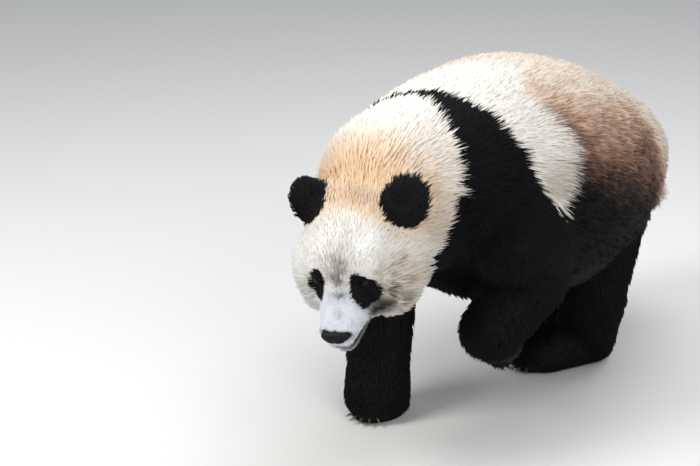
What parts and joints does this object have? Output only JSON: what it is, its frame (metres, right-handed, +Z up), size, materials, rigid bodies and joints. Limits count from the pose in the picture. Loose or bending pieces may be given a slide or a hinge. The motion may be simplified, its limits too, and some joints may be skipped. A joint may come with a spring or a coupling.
{
  "type": "giant panda model",
  "caption": "Life-size still model of a giant panda walking with its head low, one forefoot lifted in mid stride, parted into head, neck, trunk, tail and limbs.",
  "frame": {"origin": "centre of the bounding box's bottom face, on the floor", "axes": "the animal faces -Y, its left side is +X, and +Z is up"},
  "size_m": [0.6202, 1.5304, 0.8401],
  "materials": {
    "fur_body": "long coarse fur, cream to reddish brown",
    "fur_white": "thick cream-white fur",
    "fur_black": "thick black fur",
    "nose": "moist pebbled skin",
    "eye": "polished dark brown"
  },
  "bodies": {
    "root": {"trunk": "fur_body", "neck": "fur_white", "head": "fur_white", "lower_jaw": "fur_white", "tail": "fur_white", "ear_left": "fur_black", "ear_right": "fur_black", "nose_pad": "nose", "eye_left": "eye", "eye_right": "eye", "upper_fore_left": "fur_black", "lower_fore_left": "fur_black", "paw_fore_left": "fur_black", "upper_fore_right": "fur_black", "lower_fore_right": "fur_black", "paw_fore_right": "fur_black", "upper_hind_left": "fur_black", "lower_hind_left": "fur_black", "paw_hind_left": "fur_black", "upper_hind_right": "fur_black", "lower_hind_right": "fur_black", "paw_hind_right": "fur_black"}
  },
  "joints": []
}
